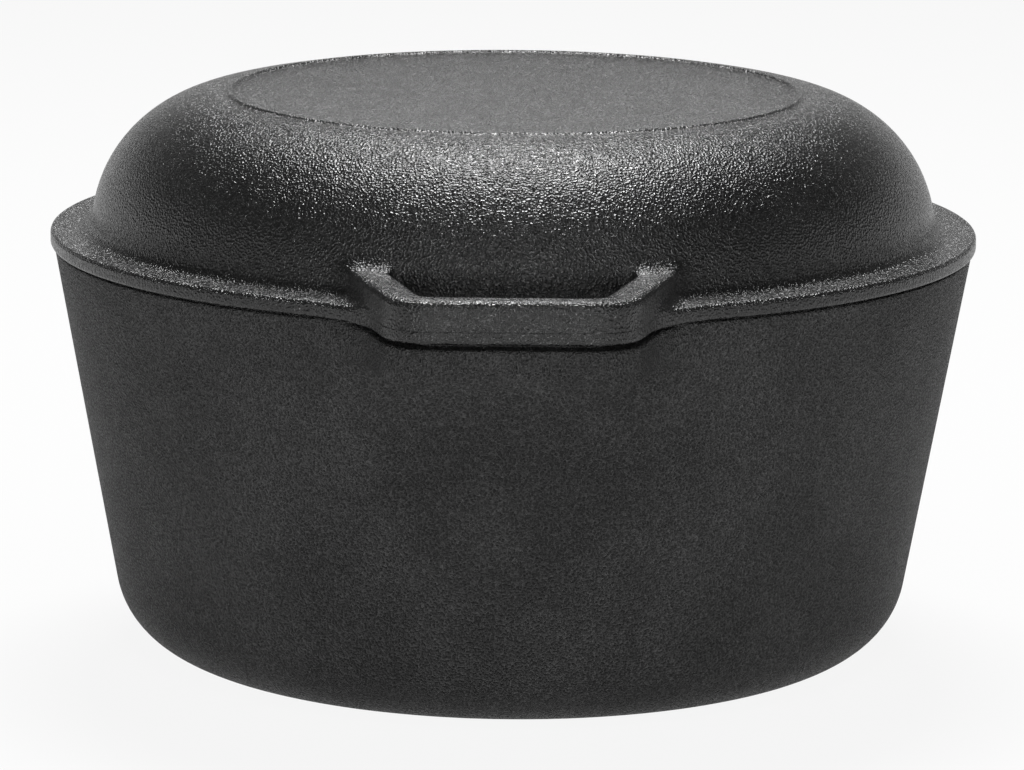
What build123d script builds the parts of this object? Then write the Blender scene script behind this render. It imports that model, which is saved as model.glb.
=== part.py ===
from build123d import *
import os
from math import cos, hypot, radians, sin, tan

# Cast iron pot with a skillet for its lid, both with cast-on loop handles.
# Frame: millimetres, +Z up, origin at the centre of the pot's flat base.
# One pair of handles points to -Y and the other pair to +Y.

# Edge of the lid's flange, which every other radius follows
flange_radius = 137.6

# Pot
flange_overhang = 1.1
rim_radius = flange_radius - flange_overhang
pot_height = 121.4
pot_draft = 10.07
base_corner_radius = 24.7
pot_wall = 4.4
pot_floor = 4.8

# Seat between the two castings: flat inside, stepped back outside, with a lip in the pot's mouth
seat_edge_bevel = 0.5
seat_step = 0.4
seat_step_width = 2.0
lip_clearance = 0.6
lip_depth = 3.6
lip_width = 4.6
lip_edge_bevel = 1.0

# Skillet lid, lying upside down on the pot
flange_thickness = 4.3
flange_edge_bevel = 0.8
flange_ledge = 11.4
dome_foot_radius = flange_radius - flange_ledge
dome_rise = 44.9
dome_draft = 11.9
shoulder_radius = 41.0
foot_bevel = 2.0
lid_wall = 4.0
lid_floor = 4.4

# Raised ring round the skillet's flat bottom
ring_setback = 41.7
ring_radius = dome_foot_radius - ring_setback
ring_width = 3.2
ring_height = 0.6
ring_bevel = 0.8

# Loop handles, the same in plan on both castings
handle_projection = 28.6
handle_reach = flange_radius + handle_projection
handle_bar_depth = 8.2
handle_arm_width = 9.9
handle_arm_spread = 40.3
handle_arm_flare = 15.4
handle_corner_radius = 14.0
finger_corner_radius = 5.0
handle_root_radius = 15.0
plate_inset = 0.3
lid_handle_height = 11.8
pot_handle_height = 10.8
pot_handle_drop = 1.1
handle_edge_bevel = 1.2

# Levels and slopes that follow from the sizes above
seam = pot_height
pot_slope = tan(radians(pot_draft))
mouth_radius = rim_radius - pot_wall / cos(radians(pot_draft))
flange_bottom = seam + seat_step
flange_top = flange_bottom + flange_thickness
dome_top = seam + dome_rise
lid_handle_top = flange_bottom + lid_handle_height
pot_handle_top = seam - pot_handle_drop
pot_handle_bottom = pot_handle_top - pot_handle_height
lip_end = seam - lip_depth
lip_outside = mouth_radius - lip_clearance
arm_root = 0.8 * dome_foot_radius
touch = 0.01


def turned(*points):
    """Solid turned round the Z axis from a closed outline of (radius, height) points."""
    return revolve(make_face(Polyline(*[(r, 0, z) for r, z in points], close=True)), Axis.Z)


def cup(mouth, mouth_z, end_z, corner, draft):
    """Solid with a flat end, a rounded corner and a drafted wall that widens to its mouth."""
    lean = radians(draft)
    way = 1 if mouth_z > end_z else -1
    centre_z = end_z + way * corner
    centre_r = mouth - (corner + way * (mouth_z - centre_z) * sin(lean)) / cos(lean)

    pull = 4 / 3 * tan((radians(90) - lean) / 4) * corner
    wall_r = centre_r + corner * cos(lean)
    wall_z = centre_z - way * corner * sin(lean)
    bend = Bezier((centre_r, 0, end_z), (centre_r + pull, 0, end_z),
                  (wall_r - pull * sin(lean), 0, wall_z - way * pull * cos(lean)), (wall_r, 0, wall_z))
    end = Line((0, 0, end_z), bend @ 0)
    wall = Line(bend @ 1, (mouth, 0, mouth_z))
    back = Polyline((mouth, 0, mouth_z), (0, 0, mouth_z), (0, 0, end_z))
    return revolve(make_face([end, bend, wall, back]), Axis.Z)


def arm_side(y):
    """Distance from the middle of a front handle to the outer side of its arm, at depth y."""
    return handle_arm_spread + (y + flange_radius) * tan(radians(handle_arm_flare))


def rounded_front(front_y, back_y, inset, corner):
    """Trapezium with arm-like flared sides, its two front corners rounded."""
    front = arm_side(front_y) - inset
    back = arm_side(back_y) - inset
    shape = make_face(Polyline((-front, front_y), (front, front_y), (back, back_y), (-back, back_y), close=True))
    return fillet(shape.vertices().sort_by(Axis.Y)[:2], corner)


def handle_outline():
    """Outer plan of the front handle, its arms run in under the casting's wall."""
    return rounded_front(-handle_reach, -arm_root, 0, handle_corner_radius)


def finger_gap():
    """Plan of the space inside the front handle's loop."""
    inset = handle_arm_width / cos(radians(handle_arm_flare))
    return rounded_front(handle_bar_depth - handle_reach, -arm_root, inset, finger_corner_radius)


def rooted_plan(radius):
    """Plan of a disc with the front handle, joined by concave curves at the handle's roots."""
    joined = Circle(radius) + handle_outline()
    corners = [v for v in joined.vertices() if abs(hypot(v.X, v.Y) - radius) < touch and v.Y < 0]
    return fillet(corners, handle_root_radius) - (finger_gap() - Circle(radius))


def both_sides(part):
    """A front feature together with its twin at the back."""
    return part + mirror(part, Plane.XZ)


def slab(plan, bottom, top):
    """Flat plate of a given plan between two levels."""
    return Pos(0, 0, bottom) * extrude(plan, amount=top - bottom)


def level_edges(part, level, low=0, high=2 * handle_reach):
    """Edges that lie at one level, with their middle between two distances from the axis."""
    found = []
    for edge in part.edges():
        start, middle = edge @ 0, edge @ 0.5
        flat = max(abs(start.Z - level), abs(middle.Z - level)) < touch
        if flat and low < hypot(middle.X, middle.Y) < high:
            found.append(edge)
    return found


def bevelled(plate, level, size):
    """The plate with all its edges at one level bevelled."""
    return plate.chamfer(size, None, level_edges(plate, level))


def eased(plate, level):
    """The handle plate with its outer edge bevelled at one level; its finger gap stays crisp."""
    gap = Pos(0, 0, level) * finger_gap()
    edges = level_edges(plate, level)
    return plate.chamfer(handle_edge_bevel, None, [e for e in edges if gap.distance_to(e) > handle_arm_width / 2])


def make_pot():
    """Pot casting: drafted wall, flat floor, stepped rim and two loop handles."""
    wall_at_handle = rim_radius - pot_slope * (seam - pot_handle_bottom)
    outside = cup(rim_radius, seam, 0, base_corner_radius, pot_draft)
    loop = slab(rooted_plan(wall_at_handle - plate_inset), pot_handle_bottom, pot_handle_top)
    loop = eased(bevelled(loop, pot_handle_top, seat_edge_bevel), pot_handle_bottom)
    block = outside + both_sides(loop)
    inside = cup(mouth_radius, seam, pot_floor, base_corner_radius - pot_wall, pot_draft)
    step = rim_radius - seat_step_width
    rebate = turned((step, seam), (step, seam - seat_step), (flange_radius, seam - seat_step), (flange_radius, seam))
    return block - inside - rebate


def ring_bead():
    """Low bevelled bead that stands up round the skillet's flat bottom."""
    inner = ring_radius - ring_width / 2
    outer = ring_radius + ring_width / 2
    crown = dome_top + ring_height
    buried = dome_top - lid_floor / 2
    return turned((inner, buried), (inner, dome_top), (inner + ring_bevel, crown), (outer - ring_bevel, crown),
                  (outer, dome_top), (outer, buried))


def make_lid():
    """Skillet casting: flat bottom, rounded shoulder, flange, locating lip and two loop handles."""
    dome = cup(dome_foot_radius, flange_top, dome_top, shoulder_radius, dome_draft)
    plate = slab(rooted_plan(flange_radius), flange_bottom, flange_top)
    plate = bevelled(bevelled(plate, flange_bottom, seat_edge_bevel), flange_top, flange_edge_bevel)
    loop = slab(handle_outline() - finger_gap(), flange_top - flange_thickness / 2, lid_handle_top)
    loop = eased(loop, lid_handle_top)
    block = dome + both_sides(plate)
    foot = level_edges(block, flange_top, mouth_radius / 2, dome_foot_radius + touch)
    block = block.chamfer(foot_bevel, None, foot) + both_sides(loop)
    lip_taper = lip_depth * pot_slope
    lip_inside = lip_outside - lip_taper - lip_width
    seat = turned((0, flange_top), (rim_radius - seat_step_width, flange_bottom), (rim_radius - seat_step_width, seam),
                  (lip_outside, seam), (lip_outside - lip_taper, lip_end), (0, lip_end))
    seat = bevelled(seat, lip_end, lip_edge_bevel)
    wall_inside = dome_foot_radius - lid_wall / cos(radians(dome_draft))
    hollow = cup(wall_inside, flange_top, dome_top - lid_floor, shoulder_radius - lid_wall, dome_draft)
    throat = turned((0, flange_top), (wall_inside, flange_top), (lip_inside, lip_end), (0, lip_end))
    return block + seat + ring_bead() - hollow - throat


os.makedirs("parts", exist_ok=True)
export_step(make_pot(), "parts/pot.step")
export_step(make_lid(), "parts/skillet_lid.step")
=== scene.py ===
from math import cos, pi, radians, sin, tan

import bmesh
import bpy
import numpy as np
from mathutils import Matrix, Vector


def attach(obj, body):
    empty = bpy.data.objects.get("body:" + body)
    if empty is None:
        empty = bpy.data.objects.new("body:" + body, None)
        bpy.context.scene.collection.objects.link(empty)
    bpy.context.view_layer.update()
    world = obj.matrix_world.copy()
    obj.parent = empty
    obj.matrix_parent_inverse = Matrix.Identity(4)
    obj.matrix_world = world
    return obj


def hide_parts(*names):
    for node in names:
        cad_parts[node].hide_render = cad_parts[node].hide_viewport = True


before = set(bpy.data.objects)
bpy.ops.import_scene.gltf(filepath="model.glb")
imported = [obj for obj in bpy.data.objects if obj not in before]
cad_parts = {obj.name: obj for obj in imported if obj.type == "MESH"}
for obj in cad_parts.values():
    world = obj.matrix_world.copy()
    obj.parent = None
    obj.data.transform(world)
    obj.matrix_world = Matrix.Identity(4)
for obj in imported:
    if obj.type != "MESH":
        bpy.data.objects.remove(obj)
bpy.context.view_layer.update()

# The two castings are drawn in millimetres, in the CAD frame, as distance fields in cylindrical
# coordinates, so that handles, flange and walls run into one another as poured iron does.
MM = 0.001

# Pot
RIM_RADIUS = 136.5
SEAM = 121.4
POT_DRAFT = 10.07
BASE_CORNER = 24.7
POT_WALL = 4.4
POT_FLOOR = 4.8

# Seat between the castings
SEAT_RADIUS = RIM_RADIUS - 2.0
SEAT_STEP = 0.4
LIP_OUTSIDE = 131.4
LIP_END = 117.8
LIP_WIDTH = 4.6
LIP_TAPER = 0.64
SEAT_ROUND = 0.5
LIP_ROUND = 1.0

# Skillet lid
FLANGE_RADIUS = RIM_RADIUS + 1.1
FLANGE_THICKNESS = 4.3
DOME_FOOT = FLANGE_RADIUS - 11.4
DOME_RISE = 44.9
DOME_DRAFT = 11.9
SHOULDER = 41.0
LID_WALL = 4.0
LID_FLOOR = 4.4
FLANGE_ROUND = 1.0
FOOT_ROUND = 4.0

# Raised ring round the skillet's flat bottom
RING_RADIUS = 84.5
RING_FOOT = 3.2
RING_CREST = 1.4
RING_HEIGHT = 0.6
RING_SINK = 1.0
RING_ROUND = 0.3

# Loop handles; the reach is a hair under the solid's, so that the mesh stays in its box
HANDLE_REACH = 166.1
BAR_DEPTH = 8.2
ARM_SPREAD = 40.3
ARM_FLARE = 15.4
ARM_INSET = 10.27
ARM_ROOT = 101.0
LOOP_START = ARM_ROOT + 12.0
HANDLE_CORNER = 14.0
GAP_CORNER = 5.0
ROOT_ROUND = 15.0
LID_HANDLE_HEIGHT = 11.8
POT_HANDLE_DROP = 1.1
POT_HANDLE_HEIGHT = 10.8
EDGE_ROUND = 1.9
GAP_EDGE_ROUND = 0.8
LID_BLEND = 4.5
POT_BLEND = 3.0

# Levels that follow from the sizes above
FLANGE_BOTTOM = SEAM + SEAT_STEP
FLANGE_TOP = FLANGE_BOTTOM + FLANGE_THICKNESS
DOME_TOP = SEAM + DOME_RISE
RING_TOP = DOME_TOP + RING_HEIGHT
LID_HANDLE_TOP = FLANGE_BOTTOM + LID_HANDLE_HEIGHT
POT_HANDLE_TOP = SEAM - POT_HANDLE_DROP
POT_HANDLE_BOTTOM = POT_HANDLE_TOP - POT_HANDLE_HEIGHT

# Outlines run past the axis by a margin, and a crisp edge has almost no radius
AXIS_MARGIN = 60.0
CRISP = 0.01
LEAST_BLEND = 0.001

# Surface of the iron, sizes in millimetres
GRAIN_SIZE = 0.62
GRAIN_SHADE = 0.3
GRAIN_ROUGHNESS = 0.09
PATCH_SIZE = 9.0
PATCH_ROUGHNESS = 0.015
FILM_SIZE = 30.0
STREAK_SIZE = 0.8
STREAK_SHORTENING = 0.06
STREAK_DEPTH = 0.25
FILED_FADE = 1.5

# Camera, in millimetres and degrees, found from the outline of the pot in the photograph
CAMERA_PLACE = Vector((0.0, -1512.0, 386.7)) * MM
CAMERA_PITCH = 11.568
CAMERA_ROLL = 0.495
FOCAL_PIXELS = 5139.8
IMAGE_WIDTH = 1024
SENSOR_WIDTH = 36.0

# Floor and world
FLOOR_SIZE = 12.0
FLOOR_GREY = 0.5
FLOOR_SHOWN = 0.9
SKY_STRENGTH = 0.05
HORIZON_START = 0.02
HORIZON_END = 0.2


def rounded(*corners):
    """Closed outline through (x, y, radius) corners, each cut to an arc of its radius."""
    points = []
    for index, (x, y, radius) in enumerate(corners):
        here = np.array((x, y))
        before = np.array(corners[index - 1][:2]) - here
        after = np.array(corners[(index + 1) % len(corners)][:2]) - here
        before /= np.linalg.norm(before)
        after /= np.linalg.norm(after)
        if radius == 0:
            points.append(here)
            continue
        half = np.arccos(before @ after) / 2
        towards = (before + after) / np.linalg.norm(before + after)
        centre = here + towards * radius / sin(half)
        start = here + before * radius / tan(half) - centre
        end = here + after * radius / tan(half) - centre
        turn = pi - 2 * half
        for t in np.linspace(0, 1, 2 + int(turn / radians(3))):
            points.append(centre + (sin((1 - t) * turn) * start + sin(t * turn) * end) / sin(turn))
    return np.array(points)


def outline_distance(outline, x, y):
    """Signed distance from points to a closed outline, negative inside it."""
    nearest = np.full(x.shape, np.inf)
    within = np.zeros(x.shape, bool)
    for a, b in zip(outline, np.roll(outline, -1, axis=0)):
        run, rise = b - a
        along = np.clip(((x - a[0]) * run + (y - a[1]) * rise) / (run * run + rise * rise), 0, 1)
        nearest = np.minimum(nearest, np.hypot(x - a[0] - along * run, y - a[1] - along * rise))
        if rise:
            within ^= ((a[1] > y) != (b[1] > y)) & (x < a[0] + (y - a[1]) * run / rise)
    return np.where(within, -nearest, nearest)


def joined(a, b, radius):
    """Union of two distance fields with a concave blend of a given radius."""
    corner = np.hypot(np.maximum(radius - a, 0), np.maximum(radius - b, 0))
    return np.maximum(radius, np.minimum(a, b)) - corner


def cut(a, b, radius):
    """First distance field without the second, its new edges rounded."""
    return -joined(-a, b, radius)


def plate(plan, z, low, high, low_round, high_round):
    """Flat plate of a given plan between two levels, its edges rounded."""
    middle = (low + high) / 2
    edge = np.where(z > middle, high_round, low_round)
    side = plan + edge
    level = np.abs(z - middle) - (high - low) / 2 + edge
    outside = np.hypot(np.maximum(side, 0), np.maximum(level, 0))
    return np.minimum(np.maximum(side, level), 0) + outside - edge


def ramp(value, start, end):
    """0 before start, 1 after end, straight between; start may be the larger."""
    return np.clip((value - start) / (end - start), 0, 1)


def arm_side(y):
    """Half the handle's width at a distance y from the axis."""
    return ARM_SPREAD - (y - FLANGE_RADIUS) * tan(radians(ARM_FLARE))


def handle_plan(front, inset, corner):
    """Outline of the handle, or of the gap inside it, seen from above."""
    near, far = arm_side(front) - inset, arm_side(ARM_ROOT) - inset
    return rounded((-near, front, corner), (near, front, corner), (far, ARM_ROOT, 0), (-far, ARM_ROOT, 0))


def handle_fields(x, y):
    """Plan distances to the handle's outer outline and to the finger gap inside it."""
    outer = outline_distance(handle_plan(HANDLE_REACH, 0, HANDLE_CORNER), x, y)
    gap = outline_distance(handle_plan(HANDLE_REACH - BAR_DEPTH, ARM_INSET, GAP_CORNER), x, y)
    return outer, gap


def wall_radius(radius, level, draft, z):
    """Radius at height z of a drafted wall that has a given radius at a level."""
    return radius - (level - z) * tan(radians(draft))


def pot_profile():
    """Outline of the pot's section, from the axis out and back."""
    mouth = RIM_RADIUS - POT_WALL / cos(radians(POT_DRAFT))
    rim_top = SEAM - SEAT_STEP
    return rounded(
        (-AXIS_MARGIN, 0, 0),
        (wall_radius(RIM_RADIUS, SEAM, POT_DRAFT, 0), 0, BASE_CORNER),
        (wall_radius(RIM_RADIUS, SEAM, POT_DRAFT, rim_top), rim_top, SEAT_ROUND),
        (SEAT_RADIUS, rim_top, 0),
        (SEAT_RADIUS, SEAM, 0),
        (mouth, SEAM, SEAT_ROUND),
        (wall_radius(mouth, SEAM, POT_DRAFT, POT_FLOOR), POT_FLOOR, BASE_CORNER - POT_WALL),
        (-AXIS_MARGIN, POT_FLOOR, 0))


def lid_profile():
    """Outline of the lid's section: flange, locating lip, hollow and dome."""
    inside = DOME_FOOT - LID_WALL / cos(radians(DOME_DRAFT))
    ceiling = DOME_TOP - LID_FLOOR
    return rounded(
        (-AXIS_MARGIN, DOME_TOP, 0),
        (wall_radius(DOME_FOOT, FLANGE_TOP, -DOME_DRAFT, DOME_TOP), DOME_TOP, SHOULDER),
        (DOME_FOOT, FLANGE_TOP, FOOT_ROUND),
        (FLANGE_RADIUS, FLANGE_TOP, FLANGE_ROUND),
        (FLANGE_RADIUS, FLANGE_BOTTOM, SEAT_ROUND),
        (SEAT_RADIUS, FLANGE_BOTTOM, 0),
        (SEAT_RADIUS, SEAM, 0),
        (LIP_OUTSIDE, SEAM, 0),
        (LIP_OUTSIDE - LIP_TAPER, LIP_END, LIP_ROUND),
        (LIP_OUTSIDE - LIP_TAPER - LIP_WIDTH, LIP_END, LIP_ROUND),
        (inside, FLANGE_TOP, FOOT_ROUND),
        (wall_radius(inside, FLANGE_TOP, -DOME_DRAFT, ceiling), ceiling, SHOULDER - LID_WALL),
        (-AXIS_MARGIN, ceiling, 0))


def ring_profile():
    """Outline of the bead round the skillet's flat bottom."""
    foot, crest = RING_FOOT / 2, RING_CREST / 2
    return rounded(
        (RING_RADIUS - foot, DOME_TOP - RING_SINK, 0),
        (RING_RADIUS - crest, RING_TOP, RING_ROUND),
        (RING_RADIUS + crest, RING_TOP, RING_ROUND),
        (RING_RADIUS + foot, DOME_TOP - RING_SINK, 0))


def pot_field(turn, r, z):
    """Distance field of the pot on a grid of angle, radius and height."""
    body = outline_distance(pot_profile(), *np.meshgrid(r, z, indexing="ij"))[None]
    spread, reach = np.meshgrid(turn, r, indexing="ij")
    outer, gap = handle_fields(reach * np.cos(spread), reach * np.sin(spread))
    wall = wall_radius(RIM_RADIUS, SEAM, POT_DRAFT, POT_HANDLE_BOTTOM) - POT_BLEND
    rooted = joined(reach - wall, outer, ROOT_ROUND)[:, :, None]
    opening = cut(gap, reach - wall, CRISP)[:, :, None]
    loop = plate(rooted, z, POT_HANDLE_BOTTOM, POT_HANDLE_TOP, EDGE_ROUND, SEAT_ROUND)
    loop = cut(loop, opening, GAP_EDGE_ROUND)
    blend = POT_BLEND * ramp(z, POT_HANDLE_TOP, POT_HANDLE_TOP - POT_BLEND) + LEAST_BLEND
    return joined(body, loop, blend)


def lid_field(turn, r, z):
    """Distance field of the lid on a grid of angle, radius and height."""
    radius, height = np.meshgrid(r, z, indexing="ij")
    body = outline_distance(lid_profile(), radius, height)
    body = joined(body, outline_distance(ring_profile(), radius, height), SEAT_ROUND)[None]
    spread, reach = np.meshgrid(turn, r, indexing="ij")
    outer, gap = handle_fields(reach * np.cos(spread), reach * np.sin(spread))
    rooted = joined(reach - FLANGE_RADIUS, outer, ROOT_ROUND)
    rooted = cut(rooted, np.maximum(gap, FLANGE_RADIUS - reach), CRISP)[:, :, None]
    roots = plate(rooted, z, FLANGE_BOTTOM, FLANGE_TOP, SEAT_ROUND, FLANGE_ROUND)
    roots = np.maximum(roots, (DOME_FOOT + FOOT_ROUND - reach)[:, :, None])
    loop = plate(outer[:, :, None], z, FLANGE_BOTTOM, LID_HANDLE_TOP, SEAT_ROUND, EDGE_ROUND)
    loop = cut(loop, gap[:, :, None], GAP_EDGE_ROUND)
    loop = np.maximum(loop, (LOOP_START - reach)[:, :, None])
    near = ramp(r, FLANGE_RADIUS + ROOT_ROUND, FLANGE_RADIUS + ROOT_ROUND / 2)[None, :, None]
    blend = LID_BLEND * ramp(z, FLANGE_TOP - 1, FLANGE_TOP) * near + LEAST_BLEND
    return joined(np.minimum(body, roots), loop, blend)


def spaced(start, *spans):
    """Grid places from start on; each span is (end, step)."""
    places = [start]
    for end, step in spans:
        count = max(1, round((end - places[-1]) / step))
        places += list(np.linspace(places[-1], end, count + 1)[1:])
    return np.array(places)


def net(field, turn, r, z):
    """Quads along the zero level of a field on a grid: one vertex in each cell that it crosses."""
    grid = np.stack(np.meshgrid(turn, r, z, indexing="ij"), axis=-1)
    cells = tuple(n - 1 for n in field.shape)
    total, count = np.zeros(cells + (3,)), np.zeros(cells)
    walls = []
    for axis in range(3):
        low = [slice(None)] * 3
        high = [slice(None)] * 3
        low[axis], high[axis] = slice(0, -1), slice(1, None)
        a, b = field[tuple(low)], field[tuple(high)]
        crossed = (a < 0) != (b < 0)
        share = np.where(crossed, a / np.where(crossed, a - b, 1), 0)[..., None]
        place = grid[tuple(low)] * (1 - share) + grid[tuple(high)] * share
        place = place * crossed[..., None]
        others = [n for n in range(3) if n != axis]
        for first in (0, 1):
            for second in (0, 1):
                part = [slice(None)] * 3
                part[others[0]] = slice(first, first + cells[others[0]])
                part[others[1]] = slice(second, second + cells[others[1]])
                total += place[tuple(part)]
                count += crossed[tuple(part)]
        inner = [slice(None)] * 3
        inner[others[0]], inner[others[1]] = slice(1, -1), slice(1, -1)
        found = np.argwhere(crossed[tuple(inner)])
        found[:, others] += 1
        walls.append((axis, others, found, a[tuple(found.T)] < 0))
    used = count > 0
    numbers = np.full(cells, -1)
    numbers[used] = np.arange(used.sum())
    quads = []
    for axis, others, found, outward in walls:
        corners = []
        for first, second in ((0, 0), (1, 0), (1, 1), (0, 1)):
            cell = found.copy()
            cell[:, others[0]] -= first
            cell[:, others[1]] -= second
            corners.append(numbers[tuple(cell.T)])
        quad = np.stack(corners, axis=1)
        flip = outward ^ (axis == 1)
        quad[flip] = quad[flip][:, ::-1]
        quads.append(quad)
    return total[used] / count[used][:, None], np.concatenate(quads)


def casting(name, field, r, z):
    """Mesh piece for one casting: a quarter of it, mirrored twice."""
    fine = 0.5
    past = 90 + fine / 2
    turn = np.radians(spaced(-1, (63, 2), (66, 1), (past - fine, fine), (past, fine)))
    spots, quads = net(field(turn, r, z), turn, r, z)
    angle, reach, height = spots.T
    places = np.stack((reach * np.cos(angle), reach * np.sin(angle), height), axis=1)
    mesh = bpy.data.meshes.new(name)
    mesh.from_pydata((places * MM).tolist(), [], quads.tolist())
    form = bmesh.new()
    form.from_mesh(mesh)
    bmesh.ops.remove_doubles(form, verts=form.verts, dist=0.01 * MM)
    bmesh.ops.recalc_face_normals(form, faces=form.faces)
    form.to_mesh(mesh)
    form.free()
    mesh.shade_smooth()
    piece = bpy.data.objects.new(name, mesh)
    bpy.context.scene.collection.objects.link(piece)
    twin = piece.modifiers.new("twin", "MIRROR")
    twin.use_axis = (True, True, False)
    twin.merge_threshold = 0.02 * MM
    return piece


def make_pot():
    """Pot with its handles, from its distance field."""
    r = spaced(-4, (4, 8), (84, 8), (112, 1.6), (130, 1.2), (138, 0.6), (168, 0.9))
    z = spaced(-1.2, (0.4, 0.8), (6, 1.4), (30, 1.6), (104, 3.7), (108.4, 1.1), (118, 0.6), (122, 0.4))
    return casting("pot_casting", pot_field, r, z)


def make_lid():
    """Skillet lid with its handles, from its distance field."""
    r = spaced(-4, (4, 8), (80, 6.9), (82.4, 1.2), (86.8, 0.4), (118, 2), (125, 1), (139, 0.6), (168, 0.9))
    z = spaced(116.6, (122.2, 0.4), (126.6, 0.55), (136, 0.8), (158, 1.6), (165.4, 1.2), (167.4, 0.25))
    return casting("lid_casting", lid_field, r, z)


def look_camera():
    """Long lens, a little above the rim, with the photograph's slight tilt."""
    data = bpy.data.cameras.new("camera")
    data.sensor_width = SENSOR_WIDTH
    data.lens = FOCAL_PIXELS / IMAGE_WIDTH * SENSOR_WIDTH
    data.clip_start = 0.01
    data.clip_end = 50.0
    camera = bpy.data.objects.new("camera", data)
    bpy.context.scene.collection.objects.link(camera)
    pitch, roll = radians(CAMERA_PITCH), radians(CAMERA_ROLL)
    ahead = Vector((0.0, cos(pitch), -sin(pitch)))
    side = Vector((1.0, 0.0, 0.0))
    up = side.cross(ahead)
    right = side * cos(roll) + up * sin(roll)
    top = up * cos(roll) - side * sin(roll)
    camera.matrix_world = Matrix((
        (right.x, top.x, -ahead.x, CAMERA_PLACE.x),
        (right.y, top.y, -ahead.y, CAMERA_PLACE.y),
        (right.z, top.z, -ahead.z, CAMERA_PLACE.z),
        (0.0, 0.0, 0.0, 1.0)))
    bpy.context.scene.camera = camera
    return camera


def area_light(name, place, target, size, energy):
    """Soft rectangular lamp aimed at a point."""
    data = bpy.data.lights.new(name, "AREA")
    data.shape = "RECTANGLE"
    data.size, data.size_y = size
    data.energy = energy
    lamp = bpy.data.objects.new(name, data)
    bpy.context.scene.collection.objects.link(lamp)
    lamp.location = place
    lamp.rotation_euler = (Vector(target) - Vector(place)).to_track_quat("-Z", "Y").to_euler()
    lamp.visible_camera = False
    return lamp


def white_sight(nodes, links):
    """1 for camera, mirror and glass rays, 0 for the light that falls on the object."""
    path = nodes.new("ShaderNodeLightPath")
    seen = path.outputs["Is Camera Ray"]
    for kind in ("Is Glossy Ray", "Is Transmission Ray"):
        either = nodes.new("ShaderNodeMath")
        either.operation = "MAXIMUM"
        links.new(seen, either.inputs[0])
        links.new(path.outputs[kind], either.inputs[1])
        seen = either.outputs[0]
    return seen


def pale_floor():
    """Plain white floor that keeps the object's shadow."""
    mesh = bpy.data.meshes.new("floor")
    half = FLOOR_SIZE / 2
    corners = [(-half, -half, 0), (half, -half, 0), (half, half, 0), (-half, half, 0)]
    mesh.from_pydata(corners, [], [(0, 1, 2, 3)])
    floor = bpy.data.objects.new("floor", mesh)
    bpy.context.scene.collection.objects.link(floor)
    material = bpy.data.materials.new("white_floor")
    material.use_nodes = True
    nodes, links = material.node_tree.nodes, material.node_tree.links
    nodes.clear()
    out = nodes.new("ShaderNodeOutputMaterial")
    lit = nodes.new("ShaderNodeBsdfDiffuse")
    lit.inputs["Color"].default_value = (FLOOR_GREY, FLOOR_GREY, FLOOR_GREY, 1.0)
    glow = nodes.new("ShaderNodeEmission")
    glow.inputs["Color"].default_value = (1.0, 1.0, 1.0, 1.0)
    glow.inputs["Strength"].default_value = 1.0
    shown = nodes.new("ShaderNodeMixShader")
    share = nodes.new("ShaderNodeMath")
    share.operation = "MULTIPLY"
    share.inputs[1].default_value = FLOOR_SHOWN
    links.new(white_sight(nodes, links), share.inputs[0])
    links.new(share.outputs[0], shown.inputs[0])
    links.new(lit.outputs[0], shown.inputs[1])
    links.new(glow.outputs[0], shown.inputs[2])
    links.new(shown.outputs[0], out.inputs["Surface"])
    mesh.materials.append(material)
    return floor


def studio_world():
    """White surroundings up to the horizon, dim soft light from above it."""
    world = bpy.data.worlds.new("world")
    bpy.context.scene.world = world
    world.use_nodes = True
    nodes, links = world.node_tree.nodes, world.node_tree.links
    sky = nodes["Background"]
    sky.inputs["Color"].default_value = (1.0, 1.0, 1.0, 1.0)
    split = nodes.new("ShaderNodeSeparateXYZ")
    links.new(nodes.new("ShaderNodeTexCoord").outputs["Generated"], split.inputs[0])
    fade = nodes.new("ShaderNodeMapRange")
    fade.interpolation_type = "SMOOTHSTEP"
    ends = (HORIZON_START, HORIZON_END, 1.0, SKY_STRENGTH)
    for socket, number in zip(("From Min", "From Max", "To Min", "To Max"), ends):
        fade.inputs[socket].default_value = number
    links.new(split.outputs["Z"], fade.inputs["Value"])
    links.new(fade.outputs["Result"], sky.inputs["Strength"])
    return world


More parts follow.
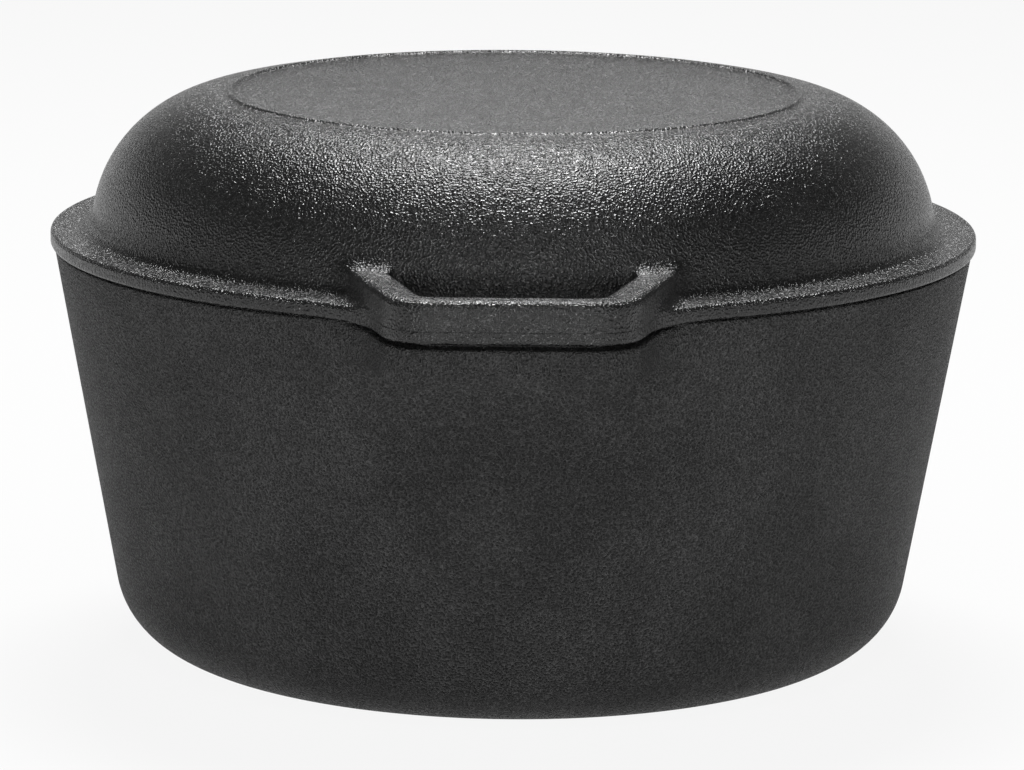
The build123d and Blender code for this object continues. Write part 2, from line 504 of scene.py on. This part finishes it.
def cast_iron(name, shade, gloss, roughness, relief, band):
    """Seasoned black cast iron: pebbled mould grain, patchy oil film, and a band of filing marks.

    shade is the darkest and palest grey, gloss the specular level, relief the depth of the grain in
    millimetres, and band the heights between which the rim was filed, leaving upright streaks.
    """
    material = bpy.data.materials.new(name)
    material.use_nodes = True
    tree = material.node_tree
    nodes, links = tree.nodes, tree.links
    shader = nodes["Principled BSDF"]
    shader.inputs["Metallic"].default_value = 0.0
    shader.inputs["Specular IOR Level"].default_value = gloss
    where = nodes.new("ShaderNodeTexCoord").outputs["Object"]

    def noise(size, detail, vector=where):
        node = nodes.new("ShaderNodeTexNoise")
        node.inputs["Scale"].default_value = 1.0 / (size * MM)
        node.inputs["Detail"].default_value = detail
        links.new(vector, node.inputs["Vector"])
        return node.outputs["Fac"]

    def remap(value, start, end, low, high):
        node = nodes.new("ShaderNodeMapRange")
        node.interpolation_type = "SMOOTHSTEP"
        for socket, number in zip(("From Min", "From Max", "To Min", "To Max"), (start, end, low, high)):
            node.inputs[socket].default_value = number
        links.new(value, node.inputs["Value"])
        return node.outputs["Result"]

    def combine(operation, first, second):
        node = nodes.new("ShaderNodeMath")
        node.operation = operation
        links.new(first, node.inputs[0])
        links.new(second, node.inputs[1])
        return node.outputs[0]

    def bump(height, depth, normal=None):
        node = nodes.new("ShaderNodeBump")
        node.inputs["Distance"].default_value = depth * MM
        links.new(height, node.inputs["Height"])
        if normal:
            links.new(normal, node.inputs["Normal"])
        return node.outputs["Normal"]

    split = nodes.new("ShaderNodeSeparateXYZ")
    links.new(where, split.inputs[0])
    height = split.outputs["Z"]
    low, high = (level * MM for level in band)
    filed = combine("MULTIPLY", remap(height, low - 0.5 * MM, low + FILED_FADE * MM, 0, 1),
                    remap(height, high - 0.1 * MM, high + 0.1 * MM, 1, 0))
    stretch = nodes.new("ShaderNodeMapping")
    stretch.inputs["Scale"].default_value = (1.0, 1.0, STREAK_SHORTENING)
    links.new(where, stretch.inputs["Vector"])
    streaks = noise(STREAK_SIZE, 3.0, stretch.outputs[0])

    film = remap(noise(FILM_SIZE, 4.0), 0.35, 0.65, *shade)
    fine = noise(GRAIN_SIZE, 0.6)
    grey = combine("MULTIPLY", film, remap(fine, 0.3, 0.7, 1 - GRAIN_SHADE, 1 + GRAIN_SHADE))
    color = nodes.new("ShaderNodeCombineColor")
    for socket in color.inputs:
        links.new(grey, socket)
    links.new(color.outputs[0], shader.inputs["Base Color"])
    duller, shinier = roughness + PATCH_ROUGHNESS, roughness - PATCH_ROUGHNESS
    patches = remap(noise(PATCH_SIZE, 2.0), 0.3, 0.7, shinier, duller)
    rough = combine("ADD", patches, remap(fine, 0.3, 0.7, GRAIN_ROUGHNESS, -GRAIN_ROUGHNESS))
    links.new(rough, shader.inputs["Roughness"])

    grain = bump(fine, relief)
    grain = bump(combine("MULTIPLY", streaks, filed), STREAK_DEPTH, grain)
    links.new(grain, shader.inputs["Normal"])
    return material


def finish_piece(piece, material, body, node):
    """Give a casting its finish and its place in the frame."""
    piece.data.materials.append(material)
    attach(piece, body)
    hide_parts(node)


look_camera()
studio_world()
pale_floor()
area_light("overhead", (0.0, 0.55, 1.45), (0.0, 0.0, 0.12), (0.6, 0.45), 36.0)
area_light("ceiling", (0.0, 0.0, 2.4), (0.0, 0.0, 0.1), (2.6, 2.6), 3.0)
area_light("back", (0.0, 2.6, 0.7), (0.0, 0.0, 0.15), (3.2, 1.0), 1.5)
area_light("front", (0.0, -1.5, 1.9), (0.0, 0.0, 0.1), (0.6, 0.5), 7.0)
area_light("fill", (0.0, -2.3, 0.3), (0.0, 0.0, 0.05), (1.4, 0.5), 18.0)
# The pot's greys are the iron's own dark grey raised well above it: painted light, standing in for light
# that its front wall lacks.
pot_iron_painted_paler = cast_iron("iron_pot", (0.070, 0.088), 0.05, 0.46, 3.0, (113.5, SEAM))
# The lid's greys are the iron's own dark grey lowered below it: painted shade, deepening the dome's darker
# slopes.
lid_iron_painted_darker = cast_iron("iron_lid", (0.006, 0.010), 0.5, 0.29, 0.50, (FLANGE_BOTTOM, FLANGE_TOP - 0.8))
finish_piece(make_pot(), pot_iron_painted_paler, "pot", "pot")
finish_piece(make_lid(), lid_iron_painted_darker, "lid", "skillet_lid")

bpy.context.scene.view_settings.view_transform = "Standard"
